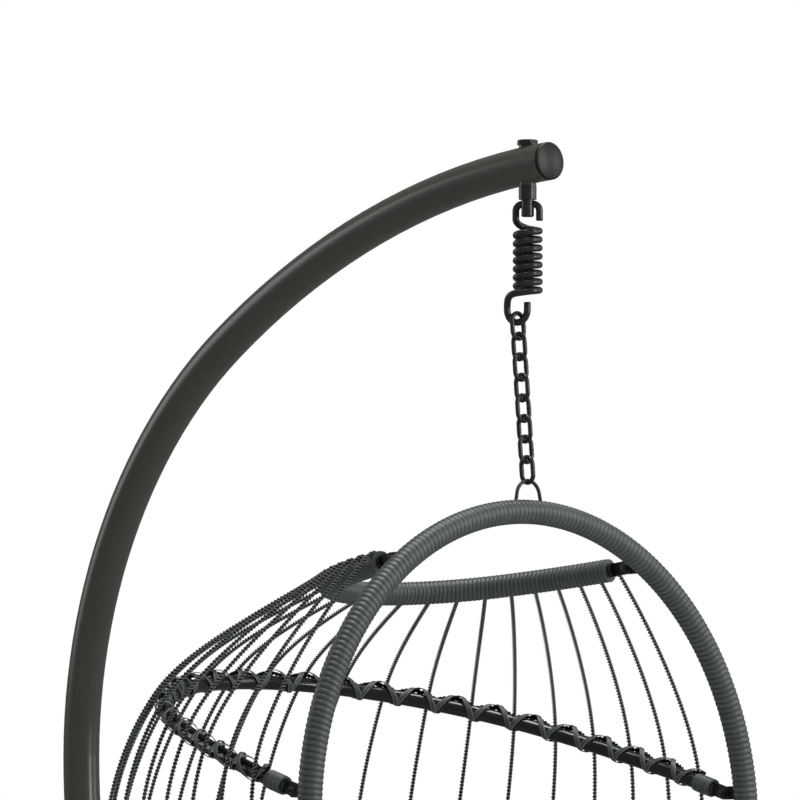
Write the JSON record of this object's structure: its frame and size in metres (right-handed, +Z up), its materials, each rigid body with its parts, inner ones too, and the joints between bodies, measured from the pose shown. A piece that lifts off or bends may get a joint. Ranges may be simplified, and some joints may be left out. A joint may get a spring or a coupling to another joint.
{
  "type": "hanging egg chair",
  "caption": "Hanging egg chair: a basket of twisted cords on a wicker-wrapped hoop, hung by a chain and coil spring from an arched pole on a ring base.",
  "frame": {"origin": "middle of the floor area, on the floor", "axes": "+Z up, +Y to the pole at the back, +X to the right as seen from the front"},
  "size_m": [1.1648, 1.6959, 1.9602],
  "materials": {
    "stand_paint": "satin",
    "black_steel": "semi-gloss",
    "bar_paint": "satin",
    "wicker": "ribbed",
    "cord": "twisted",
    "binding": "satin",
    "rubber": "matt",
    "cushion": "woven"
  },
  "bodies": {
    "stand": {"pole_upper": "stand_paint", "pole_lower": "stand_paint", "pole_joint_sleeve": "stand_paint", "pole_bolts": "black_steel", "arm_sleeve": "stand_paint", "arm_end_cap": "stand_paint", "base_ring_left": "stand_paint", "base_ring_right": "stand_paint", "base_rear_socket": "stand_paint", "base_front_tee": "stand_paint", "base_spine": "stand_paint", "base_bolts": "black_steel", "base_feet": "rubber"},
    "pin": {"swivel_pin": "black_steel", "pin_washer": "black_steel", "pin_nut": "black_steel"},
    "spring": {"suspension_spring": "black_steel"},
    "hook": {"spring_hook": "black_steel"},
    "link_1": {"chain_link_1": "black_steel"},
    "link_2": {"chain_link_2": "black_steel"},
    "link_3": {"chain_link_3": "black_steel"},
    "link_4": {"chain_link_4": "black_steel"},
    "link_5": {"chain_link_5": "black_steel"},
    "link_6": {"chain_link_6": "black_steel"},
    "link_7": {"chain_link_7": "black_steel"},
    "link_8": {"chain_link_8": "black_steel"},
    "basket": {"hang_ring": "black_steel", "hoop_tube": "bar_paint", "hoop_wrap": "wicker", "hoop_lugs": "bar_paint", "top_bar": "bar_paint", "top_bar_wrap": "wicker", "middle_bar": "bar_paint", "middle_bar_collars": "wicker", "middle_bar_binding": "binding", "seat_bar": "bar_paint", "bottom_bar": "bar_paint", "pivot_bolts": "black_steel", "pivot_nuts": "black_steel", "cords_1": "cord", "cords_2": "cord", "cords_3": "cord", "cords_4": "cord", "cords_5": "cord", "cords_6": "cord", "seat_cushion": "cushion"}
  },
  "joints": [
    {"name": "pin_swivel", "type": "hinge", "parent": "stand", "child": "pin", "pos_m": [0, -0.26704, 1.88581], "axis": [0, 0, 1], "continuous": true},
    {"name": "spring_sway", "type": "hinge", "parent": "pin", "child": "spring", "pos_m": [0, -0.26704, 1.85591], "axis": [0.4695, -0.8829, 0], "range_deg": [-8, 8]},
    {"name": "spring_stretch", "type": "slide", "parent": "spring", "child": "hook", "axis": [0, 0, -1], "range_m": [-0.008, 0.04], "stiffness_N_per_m": 30000, "springref_m": -0.0075, "deforming": ["suspension_spring"]},
    {"name": "link_1_swing", "type": "hinge", "parent": "hook", "child": "link_1", "pos_m": [-0.00831, -0.25141, 1.67552], "axis": [1, 0, 0], "range_deg": [-8, 8]},
    {"name": "link_2_swing", "type": "hinge", "parent": "link_1", "child": "link_2", "pos_m": [-0.00727, -0.25336, 1.64219], "axis": [0, 1, 0], "range_deg": [-12, 12]},
    {"name": "link_3_swing", "type": "hinge", "parent": "link_2", "child": "link_3", "pos_m": [-0.00624, -0.25531, 1.60886], "axis": [-1, 0, 0], "range_deg": [-8, 8]},
    {"name": "link_4_swing", "type": "hinge", "parent": "link_3", "child": "link_4", "pos_m": [-0.0052, -0.25725, 1.57553], "axis": [0, -1, 0], "range_deg": [-12, 12]},
    {"name": "link_5_swing", "type": "hinge", "parent": "link_4", "child": "link_5", "pos_m": [-0.00417, -0.2592, 1.54221], "axis": [1, 0, 0], "range_deg": [-8, 8]},
    {"name": "link_6_swing", "type": "hinge", "parent": "link_5", "child": "link_6", "pos_m": [-0.00313, -0.26115, 1.50888], "axis": [0, 1, 0], "range_deg": [-12, 12]},
    {"name": "link_7_swing", "type": "hinge", "parent": "link_6", "child": "link_7", "pos_m": [-0.0021, -0.2631, 1.47555], "axis": [-1, 0, 0], "range_deg": [-8, 8]},
    {"name": "link_8_swing", "type": "hinge", "parent": "link_7", "child": "link_8", "pos_m": [-0.00106, -0.26504, 1.44223], "axis": [0, -1, 0], "range_deg": [-12, 12]},
    {"name": "basket_swing", "type": "hinge", "parent": "link_8", "child": "basket", "pos_m": [0, -0.26704, 1.4081], "axis": [1, 0, 0], "range_deg": [-32, 6]}
  ]
}
